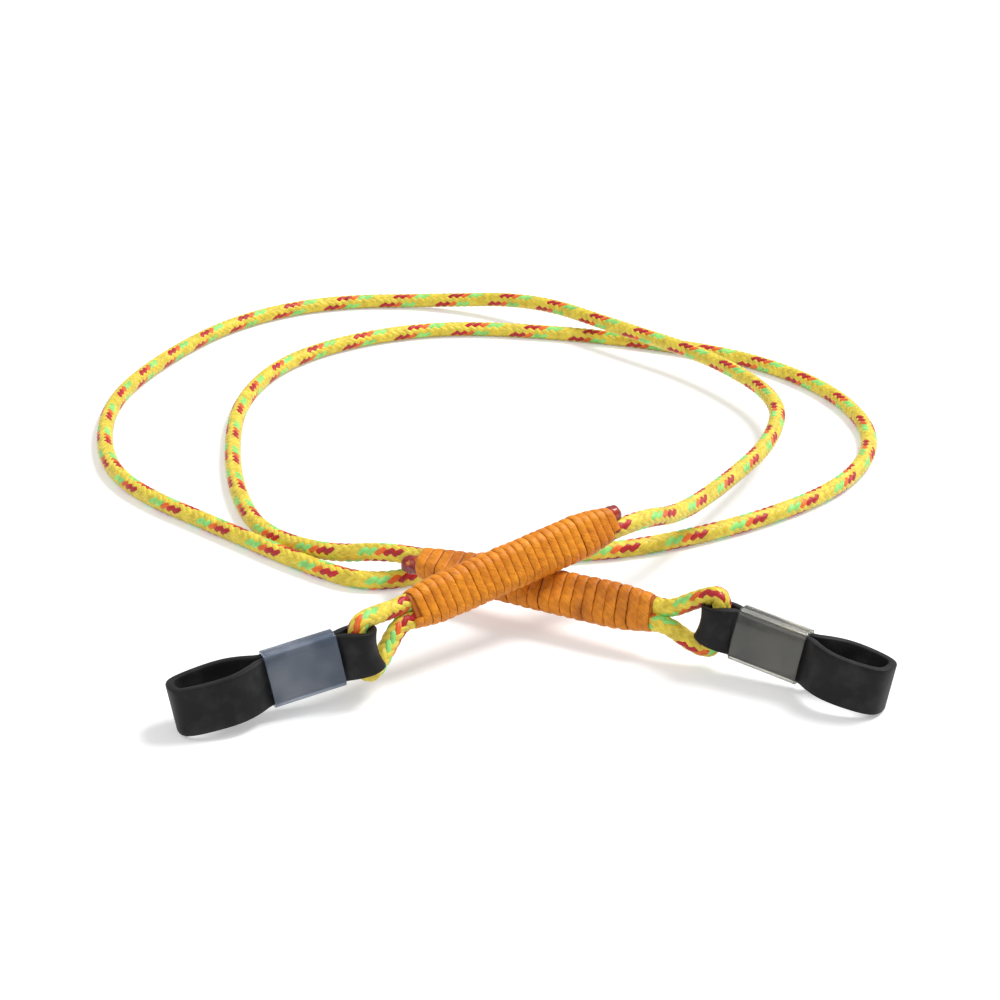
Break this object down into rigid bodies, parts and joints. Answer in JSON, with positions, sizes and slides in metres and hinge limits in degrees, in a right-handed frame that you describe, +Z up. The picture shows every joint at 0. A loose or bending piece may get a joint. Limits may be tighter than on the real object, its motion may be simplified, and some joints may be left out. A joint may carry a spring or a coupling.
{
  "type": "eyeglass retainer strap",
  "caption": "Braided cord strap for glasses with a whipped eye, a doubled rubber temple loop and a clear slider at each end, lying coiled.",
  "frame": {"origin": "on the table, below the middle of the box round the two whipped ends, their rubber loops and sliders", "axes": "+X from the left temple loop to the right one, +Y from the ends towards the coil of cord, +Z up"},
  "size_m": [0.1109, 0.1469, 0.0127],
  "materials": {
    "braided_cord": "matte braid",
    "melted_cord": "glossy",
    "whipping_thread": "matte thread",
    "band_rubber": "satin",
    "clear_sleeve": "translucent"
  },
  "bodies": {
    "strap": {"cord": "braided_cord", "left_cord_eye": "braided_cord", "left_whipping": "whipping_thread", "left_melted_tip": "melted_cord", "right_cord_eye": "braided_cord", "right_whipping": "whipping_thread", "right_melted_tip": "melted_cord"},
    "left_loop": {"left_temple_loop": "band_rubber"},
    "left_sleeve": {"left_slider": "clear_sleeve"},
    "right_loop": {"right_temple_loop": "band_rubber"},
    "right_sleeve": {"right_slider": "clear_sleeve"}
  },
  "joints": [
    {"name": "left_loop_swing", "type": "hinge", "parent": "strap", "child": "left_loop", "pos_m": [-0.0193, -0.00965, 0.00585], "axis": [-0.1913, 0.0756, 0.9786], "range_deg": [-40, 40]},
    {"name": "left_slider_slide", "type": "slide", "parent": "left_loop", "child": "left_sleeve", "axis": [-0.9226, -0.3541, -0.153], "range_m": [0, 0.0035], "deforming": ["left_temple_loop"]},
    {"name": "right_loop_swing", "type": "hinge", "parent": "strap", "child": "right_loop", "pos_m": [0.02075, -0.0027, 0.00555], "axis": [0.1949, 0.0668, 0.9786], "range_deg": [-40, 40]},
    {"name": "right_slider_slide", "type": "slide", "parent": "right_loop", "child": "right_sleeve", "axis": [0.8537, -0.5028, -0.1357], "range_m": [0, 0.0035], "deforming": ["right_temple_loop"]}
  ]
}
